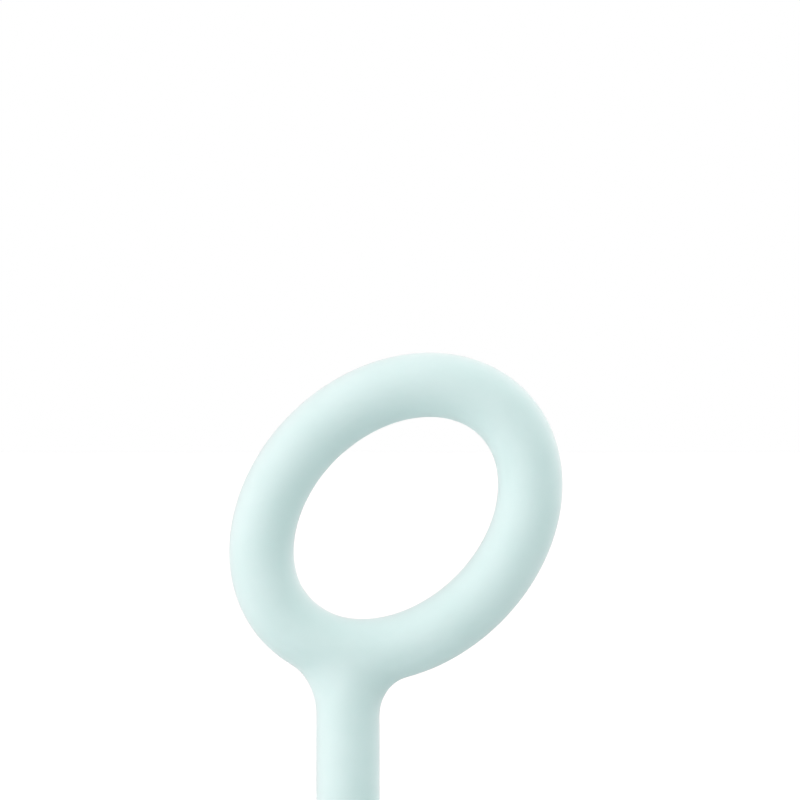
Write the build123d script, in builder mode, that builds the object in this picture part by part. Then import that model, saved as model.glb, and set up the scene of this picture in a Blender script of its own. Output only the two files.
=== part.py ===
"""Teething ring: an oval ring of soft silicone on a round stem, moulded in two halves over its cores.

Frame: +Z up along the stem, the ring in the XZ plane, and its front facing -Y. The origin is on the stem's
axis, where its straight wall meets the rounded tip. Millimetres and degrees.
"""

import os
from math import cos, radians, sin, sqrt

from build123d import *

# Ring: an oval centreline carrying a round tube
tube_radius = 6.0
ring_semi_major = 27.8
ring_semi_minor = 21.5
ring_tilt = 44.0  # long axis of the oval, above +X
ring_offset = 8.9  # ring centre, to +X of the stem's axis
ring_height = 54.0  # ring centre, above the origin

# Stem: a straight round pin, with a little draft above it, and a root still a hair slimmer than the tube
stem_radius = 5.9
root_radius = 5.97
straight_length = 17.0
junction_fillet = 7.5

# Flexible hoop inside the ring, with keying holes that the silicone fills
hoop_radius = 2.4
key_radius = 0.7
key_count = 14
boss_radius = 3.6
boss_length = 9.0  # below the ring's centreline

# Stiff core inside the stem, with a spigot up into the boss and a socket at its foot
core_radius = 3.2
spigot_radius = 1.8
spigot_length = 7.0
spigot_chamfer = 0.3
waist_radius = 2.4
waist_height = 2.2
waist_pitch = 4.2
first_waist = 10.0  # middle of the lowest waist
waist_count = 3
flow_radius = 0.8

# Two pins that lock the spigot in the boss
pin_radius = 0.6
pin_pitch = 3.0

# Rounded tip, with a barbed shank that is pressed into the stem core
shank_radius = 1.5
shank_length = 7.0
barb_radius = 1.9
barb_height = 1.2
barb_pitch = 2.6
first_barb = 2.0  # foot of the lowest barb
barb_count = 2


def centreline_height(x):
    """Height of the lower half of the ring's centreline, at a distance x from the stem's axis."""
    across = x - ring_offset
    c, s = cos(radians(ring_tilt)), sin(radians(ring_tilt))
    xx = (c / ring_semi_major) ** 2 + (s / ring_semi_minor) ** 2
    xz = c * s * (ring_semi_major**-2 - ring_semi_minor**-2)
    zz = (s / ring_semi_major) ** 2 + (c / ring_semi_minor) ** 2
    root = sqrt((xz * across) ** 2 - zz * (xx * across**2 - 1))
    return ring_height - (xz * across + root) / zz


# The ring's centreline, as two half ovals that start and end on the short axis, clear of the junction
ring_plane = Plane(
    origin=(ring_offset, 0, ring_height),
    x_dir=(cos(radians(ring_tilt)), 0, sin(radians(ring_tilt))),
    z_dir=(0, -1, 0),
)
with BuildLine(ring_plane) as centreline:
    for start in (90, 270):
        EllipticalCenterArc((0, 0), ring_semi_major, ring_semi_minor, start_angle=start, arc_size=180)
ring_path = centreline.wire()
ring_start = Plane(origin=ring_path @ 0, z_dir=ring_path % 0)

junction_height = centreline_height(0)
boss_bottom = junction_height - boss_length
pin_heights = [boss_bottom + spigot_length / 2 + side * pin_pitch / 2 for side in (-1, 1)]

# The outer form of ring and stem, which the two skins share. The stem's root ends inside the tube, where
# the tube is still wider than the root.
stem_top = junction_height - sqrt(tube_radius**2 - root_radius**2) / 2
with BuildPart() as form:
    with BuildSketch(ring_start):
        Circle(tube_radius)
    sweep(path=ring_path)
    with BuildSketch(Plane.XZ):
        with BuildLine():
            Polyline(
                (0, 0),
                (stem_radius, 0),
                (stem_radius, straight_length),
                (root_radius, stem_top),
                (0, stem_top),
                close=True,
            )
        make_face()
    revolve(axis=Axis.Z)
    junction = form.edges().sort_by_distance((0, 0, junction_height))[0]
    fillet(junction, radius=junction_fillet)

with BuildPart() as ring_core:
    with BuildSketch(ring_start):
        Circle(hoop_radius)
    sweep(path=ring_path)
    with BuildSketch(Plane.XY.offset(boss_bottom)):
        Circle(boss_radius)
    extrude(amount=boss_length)
    with BuildSketch(Plane.XY.offset(boss_bottom)):
        Circle(spigot_radius)
    extrude(amount=spigot_length, mode=Mode.SUBTRACT)
    with Locations(*[ring_path @ ((i + 0.5) / key_count) for i in range(key_count)]):
        Cylinder(key_radius, 3 * hoop_radius, rotation=(90, 0, 0), mode=Mode.SUBTRACT)
    with Locations(*[(0, 0, height) for height in pin_heights]):
        Cylinder(pin_radius, 2 * boss_radius, rotation=(90, 0, 0), mode=Mode.SUBTRACT)
ring_core.part.label = "ring_core"

# Half of the tip's section, from the seam with the stem down to the rounded end, and up its barbed shank
with BuildPart() as tip_cap:
    with BuildSketch(Plane.XZ):
        with BuildLine():
            CenterArc((0, 0), stem_radius, 270, 90)
            Line((stem_radius, 0), (0, 0))
            Line((0, 0), (0, -stem_radius))
        make_face()
        with Locations((shank_radius / 2, shank_length / 2)):
            Rectangle(shank_radius, shank_length)
        for i in range(barb_count):
            foot = first_barb + i * barb_pitch
            with BuildLine():
                Polyline(
                    (0, foot),
                    (barb_radius, foot),
                    (shank_radius, foot + barb_height),
                    (0, foot + barb_height),
                    close=True,
                )
            make_face()
    revolve(axis=Axis.Z)
tip_cap.part.label = "tip_cap"

with BuildPart() as stem_core:
    with BuildSketch(Plane.XY):
        Circle(core_radius)
    extrude(amount=boss_bottom)
    with BuildSketch(Plane.XY.offset(boss_bottom)):
        Circle(spigot_radius)
    extrude(amount=spigot_length)
    chamfer(stem_core.edges().sort_by(Axis.Z)[-1], length=spigot_chamfer)
    for i in range(waist_count):
        with BuildSketch(Plane.XY.offset(first_waist + i * waist_pitch - waist_height / 2)):
            Circle(core_radius)
            Circle(waist_radius, mode=Mode.SUBTRACT)
        extrude(amount=waist_height, mode=Mode.SUBTRACT)
        with Locations((0, 0, first_waist + i * waist_pitch)):
            Cylinder(flow_radius, 2 * core_radius, rotation=(0, 90, 0), mode=Mode.SUBTRACT)
    with Locations(*[(0, 0, height) for height in pin_heights]):
        Cylinder(pin_radius, 2 * boss_radius, rotation=(90, 0, 0), mode=Mode.SUBTRACT)
    add(tip_cap.part, mode=Mode.SUBTRACT)
stem_core.part.label = "stem_core"

with BuildPart() as cross_pins:
    with Locations(*[(0, 0, height) for height in pin_heights]):
        Cylinder(pin_radius, 2 * boss_radius, rotation=(90, 0, 0))
cross_pins.part.label = "cross_pins"

# Each skin is its half of the form, hollowed to hold what is inside. The silicone can't reach the small
# gap that the spigot's chamfer leaves in the boss.
with BuildPart() as front_skin:
    add(form.part)
    split(bisect_by=Plane.XZ, keep=Keep.TOP)
    for inner in (ring_core, stem_core, cross_pins, tip_cap):
        add(inner.part, mode=Mode.SUBTRACT)
    with BuildSketch(Plane.XY.offset(boss_bottom)):
        Circle(spigot_radius)
    extrude(amount=spigot_length, mode=Mode.SUBTRACT)
front_skin.part.label = "front_skin"

with BuildPart() as back_skin:
    mirror(front_skin.part, about=Plane.XZ)
back_skin.part.label = "back_skin"

os.makedirs("parts", exist_ok=True)
for piece in (front_skin, back_skin, ring_core, stem_core, cross_pins, tip_cap):
    export_step(piece.part, f"parts/{piece.part.label}.step")
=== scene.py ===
"""Teething ring: the soft silicone skin, its rounded tip and its cores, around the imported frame."""

from math import cos, pi, radians, sin

import bmesh
import bpy
import numpy as np
from mathutils import Matrix, Vector
from mathutils.geometry import delaunay_2d_cdt


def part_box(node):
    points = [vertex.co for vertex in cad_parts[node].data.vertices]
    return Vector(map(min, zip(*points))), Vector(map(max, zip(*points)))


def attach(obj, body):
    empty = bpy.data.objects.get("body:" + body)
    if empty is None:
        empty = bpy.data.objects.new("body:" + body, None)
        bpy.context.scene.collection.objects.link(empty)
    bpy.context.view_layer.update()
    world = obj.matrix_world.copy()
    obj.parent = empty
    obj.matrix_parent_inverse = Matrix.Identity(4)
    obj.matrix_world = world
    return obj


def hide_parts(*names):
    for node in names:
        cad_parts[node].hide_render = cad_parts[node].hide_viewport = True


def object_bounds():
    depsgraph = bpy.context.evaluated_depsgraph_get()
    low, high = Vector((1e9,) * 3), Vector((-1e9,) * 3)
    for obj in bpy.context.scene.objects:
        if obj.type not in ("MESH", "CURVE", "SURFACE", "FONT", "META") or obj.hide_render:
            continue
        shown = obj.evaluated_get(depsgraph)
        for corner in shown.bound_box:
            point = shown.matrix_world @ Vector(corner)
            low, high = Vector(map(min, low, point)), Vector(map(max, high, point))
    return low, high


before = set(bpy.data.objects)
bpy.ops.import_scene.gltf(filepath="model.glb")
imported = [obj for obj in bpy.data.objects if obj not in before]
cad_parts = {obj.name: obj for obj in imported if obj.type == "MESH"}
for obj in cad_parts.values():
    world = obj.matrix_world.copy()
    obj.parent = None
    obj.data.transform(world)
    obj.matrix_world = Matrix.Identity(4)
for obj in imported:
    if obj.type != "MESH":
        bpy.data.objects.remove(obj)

bl_info = {
    "name": "Teething Ring",
    "version": (1, 0, 0),
    "blender": (4, 5, 0),
    "location": "3D View > Sidebar > Teether",
    "description": "Builds a silicone teething ring: a blended skin in two halves, a tip, cores and a stage",
    "category": "Object",
}

BODY = "root"
MM = 0.001

# The box of the ring and stem gives the ring's place: the stem's axis is the frame's Z axis
CAD_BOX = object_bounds()
STEM_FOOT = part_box("front_skin")[0].z
TIP_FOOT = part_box("tip_cap")[0].z
RING_MIDDLE_X = (CAD_BOX[0].x + CAD_BOX[1].x) / 2
TUBE_RADIUS = CAD_BOX[1].y
STEM_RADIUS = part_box("tip_cap")[1].x

# Cage: quads run along the ring and around its tube, with a square window that the stem grows from
RING_STATIONS = 64
TUBE_SIDES = 16
WINDOW = TUBE_SIDES // 8
STEM_ROWS = 9
OVAL_SAMPLES = 8192

# Rounds of evening out and of putting back on the form, and how far round the junction they reach, in tube
# radii. The quads are evened out fully within the inner share of that reach.
RELAX_ROUNDS = 16
PROJECT_ROUNDS = 4
SOFTEN_ROUNDS = 10
RELAX_REACH = 4.2
SOFTEN_REACH = 2.8
INNER_SHARE = 0.7
JUNCTION_SINK = 0.3 * MM  # the stem's axis ends this far below the ring's centreline

# Points this near to a seam's plane are put on it, and count as on it
SNAP = 1e-6
ON_PLANE = 1e-7
NO_LENGTH = 1e-8
FILL_EPSILON = 1e-6  # in millimetres, the fill's own unit
CREASE = radians(34)


# ---------------------------------------------------------------- sizes and colours a user would change


class TeetherSizes(bpy.types.PropertyGroup):
    """Sizes of the ring, the stem and the lines between their pieces"""

    semi_major: bpy.props.FloatProperty(
        name="Ring Semi-Major", description="Half the long axis of the ring's centreline",
        default=27.8 * MM, min=10 * MM, unit="LENGTH")
    semi_minor: bpy.props.FloatProperty(
        name="Ring Semi-Minor", description="Half the short axis of the ring's centreline",
        default=21.5 * MM, min=10 * MM, unit="LENGTH")
    tilt: bpy.props.FloatProperty(
        name="Ring Tilt", description="Angle of the ring's long axis above the horizontal",
        default=radians(44), subtype="ANGLE")
    ring_x: bpy.props.FloatProperty(
        name="Ring Offset", description="Distance of the ring's centre from the stem's axis",
        default=RING_MIDDLE_X, unit="LENGTH")
    ring_z: bpy.props.FloatProperty(
        name="Ring Height", description="Height of the ring's centre above the stem's foot",
        default=54 * MM, unit="LENGTH")
    tube_radius: bpy.props.FloatProperty(
        name="Tube Radius", description="Radius of the ring's round section",
        default=TUBE_RADIUS, min=1 * MM, unit="LENGTH")
    stem_radius: bpy.props.FloatProperty(
        name="Stem Radius", description="Radius of the stem's straight stretch",
        default=STEM_RADIUS, min=1 * MM, unit="LENGTH")
    root_radius: bpy.props.FloatProperty(
        name="Root Radius", description="Radius of the stem where it ends inside the tube",
        default=5.97 * MM, min=1 * MM, unit="LENGTH")
    straight_length: bpy.props.FloatProperty(
        name="Straight Length", description="Length of the stem below its draft",
        default=17 * MM, unit="LENGTH")
    left_blend: bpy.props.FloatProperty(
        name="Left Blend", description="Radius of the ball that rolls between ring and stem on the left",
        default=8.75 * MM, min=0.5 * MM, unit="LENGTH")
    right_blend: bpy.props.FloatProperty(
        name="Right Blend", description="Radius of the ball that rolls between ring and stem on the right",
        default=6.5 * MM, min=0.5 * MM, unit="LENGTH")
    seam_width: bpy.props.FloatProperty(
        name="Seam Width", description="Half the width of the fine line where two pieces meet",
        default=0.14 * MM, min=0, unit="LENGTH")
    seam_depth: bpy.props.FloatProperty(
        name="Seam Depth", description="Depth of the fine line where two pieces meet",
        default=0.09 * MM, min=0, unit="LENGTH")
    detail: bpy.props.IntProperty(
        name="Detail", description="Rounds of subdivision after the cage has been relaxed",
        default=2, min=0, max=3)


class TeetherFinish(bpy.types.PropertyGroup):
    """Colours of the silicone and of the cores"""

    silicone: bpy.props.FloatVectorProperty(
        name="Silicone", description="Colour of the soft skin",
        subtype="COLOR", size=3, min=0, max=1, default=(0.630, 0.802, 0.789))
    silicone_shade: bpy.props.FloatVectorProperty(
        name="Silicone Shade", description="Slightly deeper colour that clouds the skin",
        subtype="COLOR", size=3, min=0, max=1, default=(0.607, 0.786, 0.771))
    hoop: bpy.props.FloatVectorProperty(
        name="Hoop", description="Colour of the flexible hoop inside the ring",
        subtype="COLOR", size=3, min=0, max=1, default=(0.78, 0.80, 0.78))
    nylon: bpy.props.FloatVectorProperty(
        name="Nylon", description="Colour of the stem's core and its pins",
        subtype="COLOR", size=3, min=0, max=1, default=(0.84, 0.82, 0.76))


# ---------------------------------------------------------------- small helpers


def new_object(name, mesh):
    """An object at the origin, unturned and unscaled, whose place is in its mesh."""
    piece = bpy.data.objects.new(name, mesh)
    bpy.context.scene.collection.objects.link(piece)
    return piece


def mesh_from(bm, name):
    """A mesh with that name from a bmesh, which is freed."""
    mesh = bpy.data.meshes.new(name)
    bm.to_mesh(mesh)
    bm.free()
    return mesh


class Tree:
    """A node tree being written: add() makes a node, and link() joins two sockets."""

    def __init__(self, tree):
        self.tree = tree
        self.column = 0

    def add(self, kind, inputs=None, **settings):
        """A node of that kind. inputs maps a socket's name or number to a value or to another socket."""
        node = self.tree.nodes.new(kind)
        node.location = (180 * (self.column % 12), -260 * (self.column // 12))
        self.column += 1
        for key, value in settings.items():
            setattr(node, key, value)
        for key, value in (inputs or {}).items():
            socket = node.inputs[key]
            if isinstance(value, bpy.types.NodeSocket):
                self.tree.links.new(value, socket)
            else:
                socket.default_value = value
        return node

    def link(self, source, target):
        """Joins an output to an input."""
        self.tree.links.new(source, target)

    def math(self, operation, *values):
        """The result of a Math node."""
        return self.add("ShaderNodeMath", dict(enumerate(values)), operation=operation).outputs[0]

    def vector(self, operation, *values):
        """The vector from a Vector Math node."""
        return self.add("ShaderNodeVectorMath", dict(enumerate(values)), operation=operation).outputs[0]

    def length(self, value):
        """The length of a vector."""
        return self.add("ShaderNodeVectorMath", {0: value}, operation="LENGTH").outputs["Value"]

    def dot(self, one, other):
        """The dot product of two vectors."""
        node = self.add("ShaderNodeVectorMath", {0: one, 1: other}, operation="DOT_PRODUCT")
        return node.outputs["Value"]

    def scaled(self, value, factor):
        """A vector times a number."""
        node = self.add("ShaderNodeVectorMath", {0: value, "Scale": factor}, operation="SCALE")
        return node.outputs[0]


def add_socket(tree, name, kind, default=None, output=False):
    """A named input or output of a node group."""
    direction = "OUTPUT" if output else "INPUT"
    socket = tree.interface.new_socket(name, in_out=direction, socket_type=kind)
    if default is not None:
        socket.default_value = default


# ---------------------------------------------------------------- materials


def new_material(name):
    """A material, its tree and its shader, with object coordinates ready to use."""
    material = bpy.data.materials.new(name)
    material.use_nodes = True
    tree = Tree(material.node_tree)
    shader = material.node_tree.nodes["Principled BSDF"]
    place = tree.add("ShaderNodeTexCoord").outputs["Object"]
    return material, tree, shader, place


def noise(tree, place, feature, detail=2.0, roughness=0.5):
    """Noise whose features have about that size, in metres, from 0 to 1."""
    inputs = {"Vector": place, "Scale": 1 / feature, "Detail": detail, "Roughness": roughness}
    return tree.add("ShaderNodeTexNoise", inputs).outputs["Fac"]


def spread(tree, value, low, high, to_low, to_high):
    """A value's range from low to high, stretched to another range."""
    inputs = {"Value": value, "From Min": low, "From Max": high, "To Min": to_low, "To Max": to_high}
    return tree.add("ShaderNodeMapRange", inputs).outputs["Result"]


def mixed_colour(tree, factor, one, other):
    """One colour where the factor is 0 and the other where it is 1."""
    inputs = {0: factor, "A": (*one, 1), "B": (*other, 1)}
    return tree.add("ShaderNodeMix", inputs, data_type="RGBA").outputs["Result"]


def silicone_material(name, colour, shade):
    """Soft matte silicone: faint clouding, a fine moulded grain and a little light let into it."""
    material, tree, shader, place = new_material(name)
    clouds = noise(tree, place, 9 * MM, detail=3)
    tree.link(mixed_colour(tree, spread(tree, clouds, 0.35, 0.65, 0, 1), colour, shade),
              shader.inputs["Base Color"])
    bloom = noise(tree, place, 4 * MM, detail=3)
    tree.link(spread(tree, bloom, 0.3, 0.7, 0.56, 0.66), shader.inputs["Roughness"])
    grain = noise(tree, place, 0.22 * MM, detail=3, roughness=0.6)
    swell = noise(tree, place, 2.5 * MM, detail=1)
    height = tree.math("ADD", tree.math("MULTIPLY", grain, 0.25), swell)
    bump = tree.add("ShaderNodeBump", {"Strength": 0.35, "Distance": 0.04 * MM, "Height": height})
    tree.link(bump.outputs["Normal"], shader.inputs["Normal"])
    shader.inputs["Subsurface Weight"].default_value = 0.3
    shader.inputs["Subsurface Radius"].default_value = (1.0, 1.1, 1.05)
    shader.inputs["Subsurface Scale"].default_value = 1.2 * MM
    shader.inputs["Specular IOR Level"].default_value = 0.35
    shader.inputs["Sheen Weight"].default_value = 0.35
    shader.inputs["Sheen Tint"].default_value = (1.0, 0.9, 0.92, 1)
    shader.inputs["Sheen Roughness"].default_value = 0.5
    return material


def hoop_material(colour):
    """Flexible elastomer of the hoop: even, slightly waxy."""
    material, tree, shader, place = new_material("flexible hoop")
    clouds = noise(tree, place, 3 * MM)
    darker = tuple(0.94 * value for value in colour)
    tree.link(mixed_colour(tree, clouds, colour, darker), shader.inputs["Base Color"])
    grain = noise(tree, place, 0.3 * MM, detail=3)
    bump = tree.add("ShaderNodeBump", {"Strength": 0.3, "Distance": 0.03 * MM, "Height": grain})
    tree.link(bump.outputs["Normal"], shader.inputs["Normal"])
    shader.inputs["Roughness"].default_value = 0.5
    return material


def nylon_material(colour):
    """Turned nylon: fine rings across its length, satin."""
    material, tree, shader, place = new_material("turned nylon")
    clouds = noise(tree, place, 2 * MM)
    darker = tuple(0.92 * value for value in colour)
    tree.link(mixed_colour(tree, clouds, colour, darker), shader.inputs["Base Color"])
    rings = tree.add("ShaderNodeTexWave", {"Vector": place, "Scale": 1 / (0.5 * MM), "Distortion": 0.3},
                     bands_direction="Z").outputs["Fac"]
    bump = tree.add("ShaderNodeBump", {"Strength": 0.25, "Distance": 0.02 * MM, "Height": rings})
    tree.link(bump.outputs["Normal"], shader.inputs["Normal"])
    shader.inputs["Roughness"].default_value = 0.38
    return material


# ---------------------------------------------------------------- the skin's form


def oval(sizes, angles):
    """Centreline points and outward directions of the ring, in the XZ plane, at the oval's own angles."""
    along = np.array([cos(sizes.tilt), sin(sizes.tilt)])
    across = np.array([-sin(sizes.tilt), cos(sizes.tilt)])
    c, s = np.cos(angles)[:, None], np.sin(angles)[:, None]
    middle = np.array([sizes.ring_x, sizes.ring_z])
    points = middle + sizes.semi_major * c * along + sizes.semi_minor * s * across
    outward = sizes.semi_minor * c * along + sizes.semi_major * s * across
    return points, outward / np.linalg.norm(outward, axis=1)[:, None]


def junction_angle(sizes):
    """The oval's angle where the stem's axis meets the lower half of the centreline."""
    angles = np.linspace(0, 2 * pi, OVAL_SAMPLES, endpoint=False)
    points, _ = oval(sizes, angles)
    lower = np.where(points[:, 1] < sizes.ring_z, np.abs(points[:, 0]), np.inf)
    return angles[int(np.argmin(lower))]


def ring_stations(sizes):
    """Centreline points and outward directions at even steps along the ring, from the junction on."""
    angles = junction_angle(sizes) + np.linspace(0, 2 * pi, OVAL_SAMPLES)
    points, _ = oval(sizes, angles)
    steps = np.linalg.norm(np.diff(points, axis=0), axis=1)
    run = np.concatenate([[0], np.cumsum(steps)])
    even = np.linspace(0, run[-1], RING_STATIONS, endpoint=False)
    return oval(sizes, np.interp(even, run, angles))


def window_rim():
    """Station and side of each point round the window, from +X towards +Y as seen along the stem."""
    w = WINDOW
    right = [(w, j) for j in range(0, w)]
    back = [(i, w) for i in range(w, -w, -1)]
    left = [(-w, j) for j in range(w, -w, -1)]
    front = [(i, -w) for i in range(-w, w)]
    return right + back + left + front + [(w, j) for j in range(-w, 0)]


def skin_cage(sizes):
    """Coarse quads along the ring's tube and down the stem, joined round a square window."""
    points, outward = ring_stations(sizes)
    bm = bmesh.new()
    rings = []
    for (x, z), (nx, nz) in zip(points, outward):
        row = []
        for j in range(TUBE_SIDES):
            turn = 2 * pi * j / TUBE_SIDES
            out, side = sizes.tube_radius * cos(turn), sizes.tube_radius * sin(turn)
            row.append(bm.verts.new((x + out * nx, side, z + out * nz)))
        rings.append(row)

    def ring_point(i, j):
        return rings[i % RING_STATIONS][j % TUBE_SIDES]

    for i in range(RING_STATIONS):
        for j in range(TUBE_SIDES):
            station = (i + WINDOW) % RING_STATIONS
            side = (j + WINDOW) % TUBE_SIDES
            if station < 2 * WINDOW and side < 2 * WINDOW:
                continue
            bm.faces.new([ring_point(i, j), ring_point(i + 1, j),
                          ring_point(i + 1, j + 1), ring_point(i, j + 1)])

    upper = [ring_point(i, j) for i, j in window_rim()]
    top = min(v.co.z for v in upper) - sizes.tube_radius / 2
    for step in range(STEM_ROWS + 1):
        height = top + (STEM_FOOT - top) * step / STEM_ROWS
        lower = []
        for k in range(TUBE_SIDES):
            turn = 2 * pi * k / TUBE_SIDES
            lower.append(bm.verts.new((sizes.stem_radius * cos(turn), sizes.stem_radius * sin(turn), height)))
        for k in range(TUBE_SIDES):
            n = (k + 1) % TUBE_SIDES
            bm.faces.new([upper[k], upper[n], lower[n], lower[k]])
        upper = lower
    loose = [v for v in bm.verts if not v.link_faces]
    bmesh.ops.delete(bm, geom=loose, context="VERTS")
    bmesh.ops.recalc_face_normals(bm, faces=bm.faces)
    return mesh_from(bm, "skin cage")


FORM_SIZES = (
    ("Ring Semi-Major", "semi_major"),
    ("Ring Semi-Minor", "semi_minor"),
    ("Ring Tilt", "tilt"),
    ("Ring Offset", "ring_x"),
    ("Ring Height", "ring_z"),
    ("Tube Radius", "tube_radius"),
    ("Stem Radius", "stem_radius"),
    ("Root Radius", "root_radius"),
    ("Straight Length", "straight_length"),
    ("Junction Height", None),
    ("Left Blend", "left_blend"),
    ("Right Blend", "right_blend"),
)


def projection_group():
    """Node group that moves each point onto the ring and stem, blended by a ball rolling on both."""
    group = bpy.data.node_groups.new("Onto Blended Form", "GeometryNodeTree")
    add_socket(group, "Geometry", "NodeSocketGeometry")
    add_socket(group, "Centreline", "NodeSocketGeometry")
    for name in ("Tube Radius", "Stem Radius", "Root Radius", "Straight Length", "Junction Height",
                 "Left Blend", "Right Blend"):
        add_socket(group, name, "NodeSocketFloat")
    add_socket(group, "Geometry", "NodeSocketGeometry", output=True)
    t = Tree(group)
    given = t.add("NodeGroupInput").outputs
    point = t.add("GeometryNodeInputPosition").outputs[0]

    # Ring: distance and direction from its centreline
    nearest = t.add("GeometryNodeProximity", {0: given["Centreline"]}, target_element="EDGES")
    near = nearest.outputs["Position"]
    from_ring = t.vector("SUBTRACT", point, near)
    ring_normal = t.vector("NORMALIZE", from_ring)
    ring_gap = t.math("SUBTRACT", t.length(from_ring), given["Tube Radius"])

    # Stem: distance and direction from its axis, which ends at the junction
    beside, _, height = t.add("ShaderNodeSeparateXYZ", {0: point}).outputs
    axis_height = t.math("MINIMUM", height, given["Junction Height"])
    from_stem = t.vector("SUBTRACT", point, t.add("ShaderNodeCombineXYZ", {"Z": axis_height}).outputs[0])
    stem_normal = t.vector("NORMALIZE", from_stem)
    draft = t.add("ShaderNodeMapRange", {
        "Value": height, "From Min": given["Straight Length"], "From Max": given["Junction Height"],
        "To Min": given["Stem Radius"], "To Max": given["Root Radius"]}).outputs["Result"]
    stem_gap = t.math("SUBTRACT", t.length(from_stem), draft)

    # Rolling ball: its centre is the ball's radius away from both surfaces, and it grows towards the left
    left_wall = t.math("MULTIPLY", given["Stem Radius"], -1.0)
    ball = t.add("ShaderNodeMapRange", {
        "Value": beside, "From Min": left_wall, "From Max": given["Stem Radius"],
        "To Min": given["Left Blend"], "To Max": given["Right Blend"]},
        interpolation_type="SMOOTHSTEP").outputs["Result"]
    facing = t.dot(ring_normal, stem_normal)
    ring_room = t.math("SUBTRACT", ball, ring_gap)
    stem_room = t.math("SUBTRACT", ball, stem_gap)
    spread_of_normals = t.math("SUBTRACT", 1.0, t.math("MULTIPLY", facing, facing))
    ring_share = t.math("DIVIDE", t.math("SUBTRACT", ring_room, t.math("MULTIPLY", facing, stem_room)),
                        spread_of_normals)
    stem_share = t.math("DIVIDE", t.math("SUBTRACT", stem_room, t.math("MULTIPLY", facing, ring_room)),
                        spread_of_normals)
    to_ball = t.vector("ADD", t.scaled(ring_normal, ring_share), t.scaled(stem_normal, stem_share))
    past_ball = t.math("SUBTRACT", 1.0, t.math("DIVIDE", ball, t.length(to_ball)))
    blend_move = t.scaled(to_ball, past_ball)
    ring_move = t.scaled(ring_normal, t.math("MULTIPLY", ring_gap, -1.0))
    stem_move = t.scaled(stem_normal, t.math("MULTIPLY", stem_gap, -1.0))

    # Where one share is negative, or one surface is out of the ball's reach, only the other counts
    def either(test, move, instead):
        return t.add("GeometryNodeSwitch", {"Switch": t.math("LESS_THAN", test, 0.0), "False": move,
                                            "True": instead}, input_type="VECTOR").outputs[0]

    move = either(stem_share, blend_move, ring_move)
    move = either(t.math("MINIMUM", ring_share, ring_room), move, stem_move)
    move = either(stem_room, move, ring_move)
    moved = t.add("GeometryNodeSetPosition", {"Geometry": given["Geometry"], "Offset": move})
    t.link(moved.outputs[0], t.add("NodeGroupOutput").inputs[0])
    return group


def repeat_zone(t, rounds, geometry, body):
    """Runs body(geometry socket), which gives a geometry socket, that many times."""
    start = t.add("GeometryNodeRepeatInput")
    end = t.add("GeometryNodeRepeatOutput")
    start.pair_with_output(end)
    start.inputs["Iterations"].default_value = rounds
    t.link(geometry, start.inputs["Geometry"])
    t.link(body(start.outputs["Geometry"]), end.inputs["Geometry"])
    return end.outputs["Geometry"]


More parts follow.
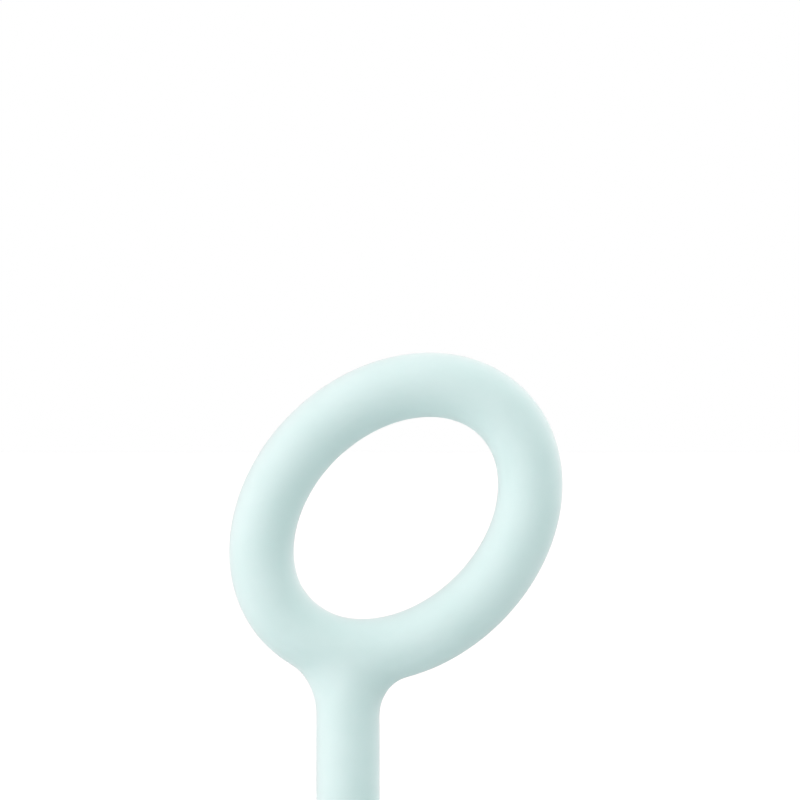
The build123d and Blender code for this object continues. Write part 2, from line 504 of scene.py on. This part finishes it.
def form_tree(material):
    """The tree that turns the cage into the skin's outer form: relax, subdivide and project."""
    tree = bpy.data.node_groups.new("Teether Form", "GeometryNodeTree")
    add_socket(tree, "Cage", "NodeSocketGeometry")
    for name, _ in FORM_SIZES:
        add_socket(tree, name, "NodeSocketFloat")
    add_socket(tree, "Detail", "NodeSocketInt")
    add_socket(tree, "Relax Reach", "NodeSocketFloat")
    add_socket(tree, "Soften Reach", "NodeSocketFloat")
    add_socket(tree, "Soften Rounds", "NodeSocketInt")
    add_socket(tree, "Skin Material", "NodeSocketMaterial", material)
    add_socket(tree, "Form", "NodeSocketGeometry", output=True)
    t = Tree(tree)
    given = t.add("NodeGroupInput").outputs

    # The ring's centreline: a circle scaled to the oval, turned up into the XZ plane and tilted
    round_one = {"Resolution": OVAL_SAMPLES // 4, "Radius": 1.0}
    circle = t.add("GeometryNodeCurvePrimitiveCircle", round_one).outputs[0]
    scale = t.add("ShaderNodeCombineXYZ", {"X": given["Ring Semi-Major"], "Y": given["Ring Semi-Minor"]})
    flat = t.add("GeometryNodeTransform", {"Geometry": circle, "Scale": scale.outputs[0]}).outputs[0]
    tilt = t.add("ShaderNodeCombineXYZ", {"Z": given["Ring Tilt"]}).outputs[0]
    tilted = t.add("GeometryNodeTransform", {"Geometry": flat, "Rotation": tilt}).outputs[0]
    place = t.add("ShaderNodeCombineXYZ", {"X": given["Ring Offset"], "Z": given["Ring Height"]}).outputs[0]
    upright = t.add("GeometryNodeTransform", {"Geometry": tilted, "Translation": place,
                                              "Rotation": (pi / 2, 0, 0)}).outputs[0]
    centreline = t.add("GeometryNodeCurveToMesh", {"Curve": upright}).outputs[0]
    onto_form = projection_group()

    def project(geometry):
        node = t.add("GeometryNodeGroup", node_tree=onto_form)
        t.link(geometry, node.inputs["Geometry"])
        t.link(centreline, node.inputs["Centreline"])
        for socket in node.inputs[2:]:
            t.link(given[socket.name], socket)
        return node.outputs[0]

    # Near the junction the quads are evened out, and put back on the form each time
    point = t.add("GeometryNodeInputPosition").outputs[0]
    junction = t.add("ShaderNodeCombineXYZ", {"Z": given["Junction Height"]}).outputs[0]
    away = t.length(t.vector("SUBTRACT", point, junction))

    def evened(geometry, reach, rounds):
        """The geometry with its points evened out, fully in the inner part of that reach, not beyond it."""
        inner = t.math("MULTIPLY", given[reach], INNER_SHARE)
        nearness = t.add("ShaderNodeMapRange", {"Value": away, "From Min": inner, "From Max": given[reach],
                                                "To Min": 1.0, "To Max": 0.0}).outputs["Result"]
        blurred = t.add("GeometryNodeBlurAttribute", {"Value": point, "Iterations": rounds,
                                                      "Weight": nearness}, data_type="FLOAT_VECTOR")
        return t.add("GeometryNodeSetPosition", {"Geometry": geometry,
                                                 "Position": blurred.outputs[0]}).outputs[0]

    def relax(geometry):
        return project(evened(geometry, "Relax Reach", 1))

    once = t.add("GeometryNodeSubdivisionSurface", {"Mesh": given["Cage"], "Level": 1}).outputs[0]
    relaxed = repeat_zone(t, RELAX_ROUNDS, once, relax)
    fine = t.add("GeometryNodeSubdivisionSurface", {"Mesh": relaxed, "Level": given["Detail"]}).outputs[0]
    exact = repeat_zone(t, PROJECT_ROUNDS, fine, project)
    softened = evened(exact, "Soften Reach", given["Soften Rounds"])
    smooth = t.add("GeometryNodeSetShadeSmooth", {"Geometry": softened}).outputs[0]
    real = t.add("GeometryNodeRealizeInstances", {"Geometry": smooth}).outputs[0]
    finished = t.add("GeometryNodeSetMaterial", {"Geometry": real, "Material": given["Skin Material"]})
    t.link(finished.outputs[0], t.add("NodeGroupOutput").inputs[0])
    return tree


def skin_form(sizes, material):
    """The outer form of ring and stem as one open mesh, from the cage and the node tree."""
    cage = new_object("skin cage", skin_cage(sizes))
    points, _ = oval(sizes, np.array([junction_angle(sizes)]))
    values = {name: getattr(sizes, key) for name, key in FORM_SIZES if key}
    values["Junction Height"] = float(points[0, 1]) - JUNCTION_SINK
    values["Detail"] = sizes.detail
    values["Relax Reach"] = RELAX_REACH * sizes.tube_radius
    values["Soften Reach"] = SOFTEN_REACH * sizes.tube_radius
    values["Soften Rounds"] = SOFTEN_ROUNDS
    tree = form_tree(material)
    modifier = cage.modifiers.new("form", "NODES")
    modifier.node_group = tree
    for item in tree.interface.items_tree:
        if item.in_out == "INPUT" and item.name in values:
            modifier[item.identifier] = values[item.name]
    cage.update_tag()
    depsgraph = bpy.context.evaluated_depsgraph_get()
    mesh = bpy.data.meshes.new_from_object(cage.evaluated_get(depsgraph), depsgraph=depsgraph)
    bpy.data.objects.remove(cage)
    return mesh


# ---------------------------------------------------------------- splitting the skin


def seam_drop(sizes, away):
    """How far the surface dips at a distance from a seam: a fine rounded V."""
    return sizes.seam_depth * max(0.0, 1 - away / sizes.seam_width) ** 1.5


def cut_along(bm, point, normal):
    """Adds a loop of points where a plane crosses the mesh."""
    geom = bm.verts[:] + bm.edges[:] + bm.faces[:]
    bmesh.ops.bisect_plane(bm, geom=geom, dist=ON_PLANE, plane_co=point, plane_no=normal)


def press_seams(bm, sizes):
    """Presses the fine lines into the form: round it where the halves meet, and at the stem's foot."""
    for share in (0.5, 1.0):
        for side in (-1, 1):
            cut_along(bm, (0, side * share * sizes.seam_width, 0), (0, 1, 0))
        cut_along(bm, (0, 0, STEM_FOOT + share * sizes.seam_width), (0, 0, 1))
    bm.normal_update()
    moves = {}
    for v in bm.verts:
        dip = max(seam_drop(sizes, abs(v.co.y)), seam_drop(sizes, v.co.z - STEM_FOOT))
        if dip > 0:
            inward = -v.normal
            if abs(v.co.y) < ON_PLANE:
                inward.y = 0
            if v.co.z - STEM_FOOT < ON_PLANE:
                inward.z = 0
            moves[v] = dip * inward.normalized()
    for v, move in moves.items():
        v.co += move


def is_inside(spot, starts, ends):
    """Whether a ray from the spot crosses the loops, given as edges, an odd number of times."""
    astride = (starts[:, 1] > spot[1]) != (ends[:, 1] > spot[1])
    a, b = starts[astride], ends[astride]
    crossings = a[:, 0] + (spot[1] - a[:, 1]) * (b[:, 0] - a[:, 0]) / (b[:, 1] - a[:, 1])
    return np.count_nonzero(crossings > spot[0]) % 2 == 1


def fill_flat(bm, edges, plane):
    """Fills loops that lie flat in that plane with triangles, and leaves the openings inside them."""
    used = {v for e in edges for v in e.verts}
    verts = [v for v in bm.verts if v in used]
    number = {v: i for i, v in enumerate(verts)}
    points = np.array([[getattr(v.co, plane[0]), getattr(v.co, plane[1])] for v in verts]) / MM
    lines = np.array([[number[v] for v in e.verts] for e in edges])
    starts, ends = points[lines[:, 0]], points[lines[:, 1]]
    found, _, triangles, origins, _, _ = delaunay_2d_cdt(
        [Vector(point) for point in points], lines.tolist(), [], 0, FILL_EPSILON)
    for triangle in triangles:
        if is_inside(np.mean([found[i] for i in triangle], axis=0), starts, ends):
            bm.faces.new([verts[origins[i][0]] for i in triangle])


def half_of(mesh, side, sizes):
    """One half of the skin as a closed solid: side is -1 for the front and 1 for the back."""
    bm = bmesh.new()
    bm.from_mesh(mesh)
    for v in bm.verts:
        if abs(v.co.y) < SNAP:
            v.co.y = 0
        if abs(v.co.z - STEM_FOOT) < SNAP:
            v.co.z = STEM_FOOT
    press_seams(bm, sizes)
    other = [f for f in bm.faces if f.calc_center_median().y * side < 0]
    bmesh.ops.delete(bm, geom=other, context="FACES")

    # The flat foot, then the flat face that meets the other half
    def at_foot(v):
        return abs(v.co.z - STEM_FOOT) < ON_PLANE

    def at_seam(v):
        return abs(v.co.y) < ON_PLANE

    bm.edges.new([v for v in bm.verts if at_foot(v) and at_seam(v)])
    fill_flat(bm, [e for e in bm.edges if all(map(at_foot, e.verts))], "xy")
    fill_flat(bm, [e for e in bm.edges if all(map(at_seam, e.verts))], "xz")
    bmesh.ops.recalc_face_normals(bm, faces=bm.faces)
    if not all(e.is_manifold for e in bm.edges):
        raise RuntimeError("a half of the skin isn't closed")
    return mesh_from(bm, "skin half")


def merged_copy(node):
    """A copy of a CAD node with its loose triangles merged, for cutting with."""
    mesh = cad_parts[node].data.copy()
    bm = bmesh.new()
    bm.from_mesh(mesh)
    bmesh.ops.remove_doubles(bm, verts=bm.verts, dist=ON_PLANE)
    bm.to_mesh(mesh)
    bm.free()
    return new_object(f"cutter {node}", mesh)


# Radius, foot and top of the stretches where inner pieces fit into one another, with no silicone between
# them: the tip's shank in the core, the core's shoulder under the boss, and the spigot and pins in the boss
PLUGS = (
    (3.1 * MM, -1.0 * MM, 8.0 * MM),
    (3.1 * MM, 19.8 * MM, 21.0 * MM),
    (3.58 * MM, 20.6 * MM, 28.0 * MM),
)
PLUG_SIDES = 96


def plug_cutter(radius, foot, top):
    """A round plug about the stem's axis, for cutting with."""
    bm = bmesh.new()
    bmesh.ops.create_cone(bm, cap_ends=True, segments=PLUG_SIDES, radius1=radius, radius2=radius,
                          depth=top - foot, matrix=Matrix.Translation((0, 0, (foot + top) / 2)))
    return new_object("cutter plug", mesh_from(bm, "cutter plug"))


def keep_largest(bm):
    """Deletes all but the largest connected part: cutting round pieces that touch leaves slivers."""
    unvisited = set(bm.verts)
    parts = []
    while unvisited:
        part, waiting = [], [unvisited.pop()]
        while waiting:
            v = waiting.pop()
            part.append(v)
            neighbours = [other for e in v.link_edges if (other := e.other_vert(v)) in unvisited]
            unvisited.difference_update(neighbours)
            waiting += neighbours
        parts.append(part)
    parts.sort(key=len)
    for part in parts[:-1]:
        bmesh.ops.delete(bm, geom=part, context="VERTS")


def hollow_out(piece, nodes):
    """Cuts the inner pieces' shapes out of a solid half of the skin."""
    cutters = [merged_copy(node) for node in nodes] + [plug_cutter(*plug) for plug in PLUGS]
    for cutter in cutters:
        modifier = piece.modifiers.new("hollow", "BOOLEAN")
        modifier.operation = "DIFFERENCE"
        modifier.solver = "MANIFOLD"
        modifier.object = cutter
    depsgraph = bpy.context.evaluated_depsgraph_get()
    hollow = bpy.data.meshes.new_from_object(piece.evaluated_get(depsgraph), depsgraph=depsgraph)
    piece.modifiers.clear()
    piece.data = hollow
    for cutter in cutters:
        bpy.data.objects.remove(cutter)
    bm = bmesh.new()
    bm.from_mesh(hollow)
    keep_largest(bm)
    bmesh.ops.dissolve_degenerate(bm, edges=bm.edges, dist=NO_LENGTH)
    if not all(e.is_manifold for e in bm.edges):
        raise RuntimeError(f"{piece.name} isn't closed")
    bm.to_mesh(hollow)
    bm.free()


def sharpen(mesh, angle):
    """Smooth shading, with edges sharper than that angle kept crisp."""
    bm = bmesh.new()
    bm.from_mesh(mesh)
    for f in bm.faces:
        f.smooth = True
    for e in bm.edges:
        e.smooth = len(e.link_faces) == 2 and e.calc_face_angle() < angle
    bm.to_mesh(mesh)
    bm.free()


def set_material(piece, material):
    """Makes that the piece's only material."""
    piece.data.materials.clear()
    piece.data.materials.append(material)


class TEETHER_OT_skins(bpy.types.Operator):
    """Build the front and back halves of the silicone skin"""

    bl_idname = "teether.skins"
    bl_label = "Skins"

    def execute(self, context):
        sizes, finish = context.scene.teether_sizes, context.scene.teether_finish
        material = silicone_material("mint silicone", finish.silicone, finish.silicone_shade)
        form = skin_form(sizes, material)
        if len(form.polygons) < RING_STATIONS * TUBE_SIDES:
            raise RuntimeError("the node tree gave no form")
        for name, node, side in (("skin.front", "front_skin", -1), ("skin.back", "back_skin", 1)):
            piece = new_object(name, half_of(form, side, sizes))
            hollow_out(piece, ("ring_core", "stem_core", "cross_pins", "tip_cap"))
            sharpen(piece.data, CREASE)
            set_material(piece, material)
            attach(piece, BODY)
            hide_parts(node)
        return {"FINISHED"}


# ---------------------------------------------------------------- the tip

TIP_TURNS = 128
TIP_ARC_STEPS = 28
BARBS = ((2.0 * MM, 3.2 * MM), (4.6 * MM, 5.8 * MM))
BARB_RADIUS = 1.9 * MM
SHANK_RADIUS = 1.5 * MM
SHANK_TOP = 7.0 * MM
TIP_SHADE = 0.985  # the tip's colour, as a share of the skin's


def tip_profile(sizes):
    """Half the tip's section, as (radius, height), from the pole of its round end to the shank's top."""
    radius = sizes.stem_radius
    points = []
    for step in range(TIP_ARC_STEPS + 1):
        turn = pi / 2 * step / TIP_ARC_STEPS
        points.append((radius * sin(turn), -radius * cos(turn)))
    while points[-1][1] > -sizes.seam_width:
        points.pop()
    for share in (1.0, 0.5, 0.0):
        away = share * sizes.seam_width
        points.append((radius - seam_drop(sizes, away), STEM_FOOT - away))
    points.append((SHANK_RADIUS, STEM_FOOT))
    for low, high in BARBS:
        points += [(SHANK_RADIUS, low), (BARB_RADIUS, low), (SHANK_RADIUS, high)]
    points += [(SHANK_RADIUS, SHANK_TOP), (0, SHANK_TOP)]
    return points


class TEETHER_OT_tip(bpy.types.Operator):
    """Build the rounded tip with its barbed shank"""

    bl_idname = "teether.tip"
    bl_label = "Tip"

    def execute(self, context):
        sizes, finish = context.scene.teether_sizes, context.scene.teether_finish
        bm = bmesh.new()
        line = [bm.verts.new((r, 0, z)) for r, z in tip_profile(sizes)]
        edges = [bm.edges.new(pair) for pair in zip(line, line[1:])]
        bmesh.ops.spin(bm, geom=line + edges, cent=(0, 0, 0), axis=(0, 0, 1), angle=2 * pi,
                       steps=TIP_TURNS, use_merge=True)
        bmesh.ops.remove_doubles(bm, verts=bm.verts, dist=SNAP)
        bmesh.ops.recalc_face_normals(bm, faces=bm.faces)
        piece = new_object("tip", mesh_from(bm, "tip"))
        sharpen(piece.data, CREASE)
        shade = tuple(TIP_SHADE * value for value in finish.silicone)
        set_material(piece, silicone_material("mint silicone tip", shade, finish.silicone_shade))
        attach(piece, BODY)
        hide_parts("tip_cap")
        return {"FINISHED"}


class TEETHER_OT_cores(bpy.types.Operator):
    """Finish the hoop, the stem's core and its pins, which stay as the frame has them"""

    bl_idname = "teether.cores"
    bl_label = "Cores"

    def execute(self, context):
        finish = context.scene.teether_finish
        set_material(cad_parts["ring_core"], hoop_material(finish.hoop))
        nylon = nylon_material(finish.nylon)
        for node in ("stem_core", "cross_pins"):
            set_material(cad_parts[node], nylon)
        return {"FINISHED"}


# ---------------------------------------------------------------- the stage

LENS = 200.0
SENSOR = 36.0
VIEW_WIDTH = 148.6 * MM
VIEW_RIGHT = 0.76 * MM
VIEW_UP = 21.9 * MM
VIEW_REACH = 50.0
FLOOR_RADIUS = 6.0
FLOOR_SIDES = 96

# Soft panels of light round the object: bearing from the front towards the right, height above the
# horizon, strength and tint
PANELS = (
    ("left key", 315, 12, 2.85, (1.08, 0.98, 0.985)),
    ("left fill", 270, 12, 1.15, (1.16, 0.955, 0.97)),
    ("right back rim", 135, 12, 2.0, (1.22, 0.94, 0.955)),
    ("right overhead", 90, 50, 1.65, (0.92, 1.025, 1.015)),
    ("overhead", 0, 90, 0.3, (1.05, 0.99, 0.99)),
)
PANEL_SOFTNESS = 4.0
FLOOR_BOUNCE = (0.63, 0.70, 0.70)


def floor_material():
    """Pale matte sweep with the faintest mottling."""
    material, tree, shader, place = new_material("pale sweep")
    mottle = noise(tree, place, 0.3)
    tree.link(mixed_colour(tree, mottle, (0.97, 0.97, 0.97), (0.955, 0.955, 0.955)),
              shader.inputs["Base Color"])
    shader.inputs["Roughness"].default_value = 0.9
    shader.inputs["Specular IOR Level"].default_value = 0.1

    # The floor throws back less light than it shows, as if the object were held well above it
    dim = tree.add("ShaderNodeBsdfDiffuse", {"Color": (*FLOOR_BOUNCE, 1)}).outputs[0]
    seen = tree.add("ShaderNodeLightPath").outputs["Is Camera Ray"]
    either = tree.add("ShaderNodeMixShader", {0: seen, 1: dim, 2: shader.outputs[0]}).outputs[0]
    tree.link(either, material.node_tree.nodes["Material Output"].inputs["Surface"])
    return material


def studio_world():
    """A white surround for the camera, and soft panels of light all round for the object."""
    world = bpy.data.worlds.new("studio")
    world.use_nodes = True
    bpy.context.scene.world = world
    t = Tree(world.node_tree)
    background = world.node_tree.nodes["Background"]
    towards = t.add("ShaderNodeTexCoord").outputs["Generated"]
    total = (0.0, 0.0, 0.0)
    for _, bearing, height, strength, tint in PANELS:
        turn, rise = radians(bearing), radians(height)
        panel = (sin(turn) * cos(rise), -cos(turn) * cos(rise), sin(rise))
        facing = t.math("MAXIMUM", t.dot(towards, panel), 0.0)
        glow = t.math("MULTIPLY", t.math("POWER", facing, PANEL_SOFTNESS), strength)
        total = t.vector("ADD", t.scaled(tint, glow), total)
    seen = t.add("ShaderNodeLightPath").outputs["Is Camera Ray"]
    colour = t.add("ShaderNodeMix", {0: seen, "A": total, "B": (1, 1, 1)}, data_type="VECTOR")
    t.link(colour.outputs["Result"], background.inputs["Color"])


class TEETHER_OT_stage(bpy.types.Operator):
    """Set up the pale floor, the soft lights and the camera"""

    bl_idname = "teether.stage"
    bl_label = "Stage"

    def execute(self, context):
        sizes = context.scene.teether_sizes
        bm = bmesh.new()
        bmesh.ops.create_circle(bm, cap_ends=True, radius=FLOOR_RADIUS, segments=FLOOR_SIDES)
        floor = new_object("floor", mesh_from(bm, "floor"))
        floor.data.transform(Matrix.Translation((0, 0, TIP_FOOT)))
        set_material(floor, floor_material())
        studio_world()

        data = bpy.data.cameras.new("camera")
        data.lens = LENS
        data.sensor_width = SENSOR
        data.clip_end = VIEW_REACH
        camera = bpy.data.objects.new("camera", data)
        distance = VIEW_WIDTH * LENS / SENSOR
        camera.location = (sizes.ring_x + VIEW_RIGHT, -distance, sizes.ring_z + VIEW_UP)
        camera.rotation_euler = (pi / 2, 0, 0)
        context.scene.collection.objects.link(camera)
        context.scene.camera = camera
        context.scene.view_settings.view_transform = "Standard"
        return {"FINISHED"}


# ---------------------------------------------------------------- the panel and the run


class TEETHER_PT_panel(bpy.types.Panel):
    """Sizes, colours and building steps of the teething ring"""

    bl_idname = "TEETHER_PT_panel"
    bl_label = "Teething Ring"
    bl_space_type = "VIEW_3D"
    bl_region_type = "UI"
    bl_category = "Teether"

    def draw(self, context):
        layout = self.layout
        for settings in (context.scene.teether_sizes, context.scene.teether_finish):
            column = layout.column(align=True)
            for name in settings.__annotations__:
                column.prop(settings, name)
        column = layout.column(align=True)
        for operator in OPERATORS:
            column.operator(operator.bl_idname)


OPERATORS = (TEETHER_OT_skins, TEETHER_OT_tip, TEETHER_OT_cores, TEETHER_OT_stage)
CLASSES = (TeetherSizes, TeetherFinish, *OPERATORS, TEETHER_PT_panel)


def register():
    for cls in CLASSES:
        bpy.utils.register_class(cls)
    bpy.types.Scene.teether_sizes = bpy.props.PointerProperty(type=TeetherSizes)
    bpy.types.Scene.teether_finish = bpy.props.PointerProperty(type=TeetherFinish)


def unregister():
    del bpy.types.Scene.teether_sizes
    del bpy.types.Scene.teether_finish
    for cls in reversed(CLASSES):
        bpy.utils.unregister_class(cls)


def main():
    register()
    bpy.ops.teether.skins()
    bpy.ops.teether.tip()
    bpy.ops.teether.cores()
    bpy.ops.teether.stage()


if __name__ == "__main__":
    main()
